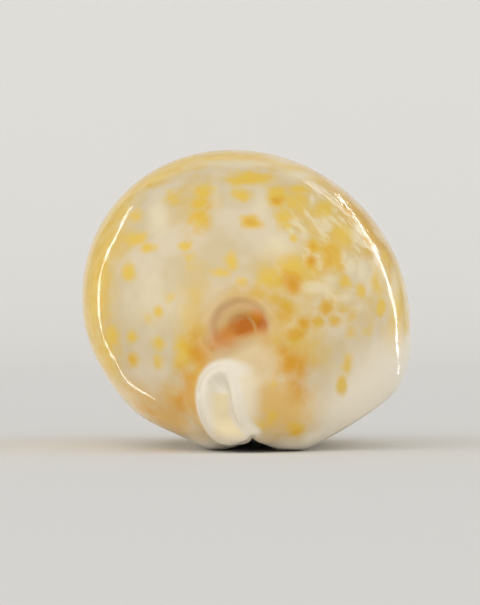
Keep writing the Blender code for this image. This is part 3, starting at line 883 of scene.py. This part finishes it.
def porcelain(shift):
    """Glazed shell: it lets light in a little, and its gloss has faint waves and smears."""
    material = bpy.data.materials.new("porcelain shell")
    material.use_nodes = True
    graph = Graph(material.node_tree)
    surface = material.node_tree.nodes["Principled BSDF"]
    given = graph.out("ShaderNodeTexCoord", None, None, "Object")
    sockets = {"Vector": given, "Location": [-v / MM for v in shift], "Scale": [1.0 / MM] * 3}
    point = graph.out("ShaderNodeMapping", None, sockets)
    split = graph.node("ShaderNodeSeparateXYZ", None, {0: point})
    place = [Signal(graph, socket) for socket in split.outputs]
    graph.feed(surface.inputs["Base Color"], shell_colour(graph, point, place))
    waves = noise(graph, point, 0.22, 2.0)
    rippled = around(place, RIPPLES_CENTRE, 12.0, 15.0).ramp(1.0, 0.25)
    height = waves * WAVE_HEIGHT + streaks(graph, place) * rippled * RIPPLE_HEIGHT
    bump = graph.out("ShaderNodeBump", None, {"Height": height, "Distance": MM, "Strength": 0.5})
    graph.feed(surface.inputs["Normal"], bump)
    smears = noise(graph, point, 0.3, 3.0).ramp(0.35, 0.7, 0.0, 0.05)
    roughness = GLAZE_ROUGHNESS + smears + spire_dullness(place) * PIT_DULLNESS
    graph.feed(surface.inputs["Roughness"], roughness)
    surface.inputs["IOR"].default_value = GLAZE_REFRACTION
    surface.inputs["Subsurface Weight"].default_value = LIGHT_LET_IN
    surface.inputs["Subsurface Radius"].default_value = LIGHT_REACH
    surface.inputs["Subsurface Scale"].default_value = MM
    return material


def make_shell():
    """Draws the shell, marks it and lays it where its solid lies."""
    low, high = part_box("shell")
    blank = bpy.data.materials.new("blank")
    mesh = thinned(drawn_shell(blank))
    places = vertex_places(mesh)
    own_low, own_high = places.min(axis=0), places.max(axis=0)
    shift = [(low[i] + high[i] - own_low[i] - own_high[i]) / 2.0 for i in range(2)]
    shift = Vector((*shift, low[2] - REST_Z * MM))
    mark(mesh)
    # The lips are worn flat where they rest.
    places[:, 2] = np.maximum(places[:, 2], REST_Z * MM)
    places += np.array(shift, np.float32)
    mesh.vertices.foreach_set("co", places.ravel())
    mesh.update()
    mesh.materials.clear()
    mesh.materials.append(porcelain(shift))
    mesh.shade_smooth()
    piece = new_object("shell_surface", mesh)
    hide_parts("shell")
    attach(piece, "root")
    return piece, shift


def make_camera(shift):
    long_side = max(PICTURE_SIZE) * MM_PER_PIXEL
    data = bpy.data.cameras.new("camera")
    data.sensor_width = SENSOR_WIDTH
    data.lens = SENSOR_WIDTH * (WIDEST_Y - EYE[1]) / long_side
    data.clip_start = 0.05
    camera = new_object("camera", data)
    camera.location = Vector(EYE) * MM + shift
    camera.rotation_euler = (math.radians(90.0), 0.0, 0.0)
    bpy.context.scene.camera = camera


def sheet(name, side, depth_points, material):
    """A sheet across the view that follows the given depths and heights."""
    vertices = [(x, y, z) for y, z in depth_points for x in (-side, side)]
    faces = [(2 * i, 2 * i + 1, 2 * i + 3, 2 * i + 2) for i in range(len(depth_points) - 1)]
    mesh = bpy.data.meshes.new(name)
    mesh.from_pydata(vertices, [], faces)
    mesh.shade_smooth()
    mesh.materials.append(material)
    new_object(name, mesh)


def make_floor():
    """A pale floor, and a pale sheet behind it that sweeps up from it."""
    material = bpy.data.materials.new("pale floor")
    material.use_nodes = True
    surface = material.node_tree.nodes["Principled BSDF"]
    surface.inputs["Base Color"].default_value = PALE_GREY
    surface.inputs["Roughness"].default_value = 0.9
    sheet("floor", FLOOR_HALF_WIDTH, [(FLOOR_FRONT, 0.0), (FLOOR_BACK, 0.0)], material)
    sweep = []
    for step in range(BACKDROP_STEPS + 1):
        turn = math.radians(90.0) * step / BACKDROP_STEPS
        depth = FLOOR_BACK + BACKDROP_BEND * math.sin(turn)
        sweep.append((depth, BACKDROP_BEND * (1.0 - math.cos(turn))))
    sweep.append((FLOOR_BACK + BACKDROP_BEND, BACKDROP_TOP))
    sheet("backdrop", BACKDROP_HALF_WIDTH, sweep, material)


def add_light(name, place, size, power, way=(0.0, 0.0, 1.0)):
    """A one-sided panel that faces the shell, with its long side along the given way."""
    data = bpy.data.lights.new(name, "AREA")
    data.shape = "RECTANGLE"
    data.size, data.size_y = size
    data.energy = power
    light = new_object(name, data)
    light.location = place
    along = Vector(way).normalized()
    outward = Vector(place) - Vector(SHELL_MIDDLE)
    outward = (outward - outward.dot(along) * along).normalized()
    light.rotation_euler = Matrix((along.cross(outward), along, outward)).transposed().to_euler()
    return light


def add_strips(name, corners, widths, brightness, lit):
    """Narrow panels, each a little past its corners. They light only what is in lit."""
    for i, (start, end) in enumerate(zip(corners, corners[1:])):
        start, end = Vector(start), Vector(end)
        size = (widths[i], (end - start).length * 1.03)
        power = brightness * math.pi * size[0] * size[1]
        strip = add_light(f"{name} {i}", (start + end) / 2.0, size, power, end - start)
        strip.visible_camera = False
        strip.light_linking.receiver_collection = lit


def make_world():
    """Pale light from all round: brighter from the sides, dimmer from behind the shell."""
    world = bpy.data.worlds.new("studio")
    bpy.context.scene.world = world
    world.use_nodes = True
    graph = Graph(world.node_tree)
    background = world.node_tree.nodes["Background"]
    way = graph.node("ShaderNodeSeparateXYZ", None, {0: graph.out("ShaderNodeTexCoord")})
    front = Signal(graph, way.outputs["Y"]).ramp(0.4, -0.4, 0.42, 0.8)
    sides = abs(Signal(graph, way.outputs["X"])).ramp(0.4, 0.9, 0.0, 0.45)
    graph.feed(background.inputs["Strength"], front + sides)
    background.inputs["Color"].default_value = WORLD_WHITE


def make_lights(piece):
    make_world()
    add_light("front soft box", *SOFT_BOX)
    add_light("low fill", *LOW_FILL)
    lit = bpy.data.collections.new("lit by the strips")
    lit.objects.link(piece)
    add_strips("left strip", LEFT_STRIP, LEFT_STRIP_WIDTHS, STRIP_BRIGHTNESS, lit)
    add_strips("right strip", RIGHT_STRIP, RIGHT_STRIP_WIDTHS, STRIP_BRIGHTNESS, lit)
    add_strips("right glow", RIGHT_GLOW, RIGHT_GLOW_WIDTHS, RIGHT_GLOW_BRIGHTNESS, lit)


shell, moved = make_shell()
make_camera(moved)
make_floor()
make_lights(shell)

bpy.context.scene.view_settings.view_transform = "Standard"
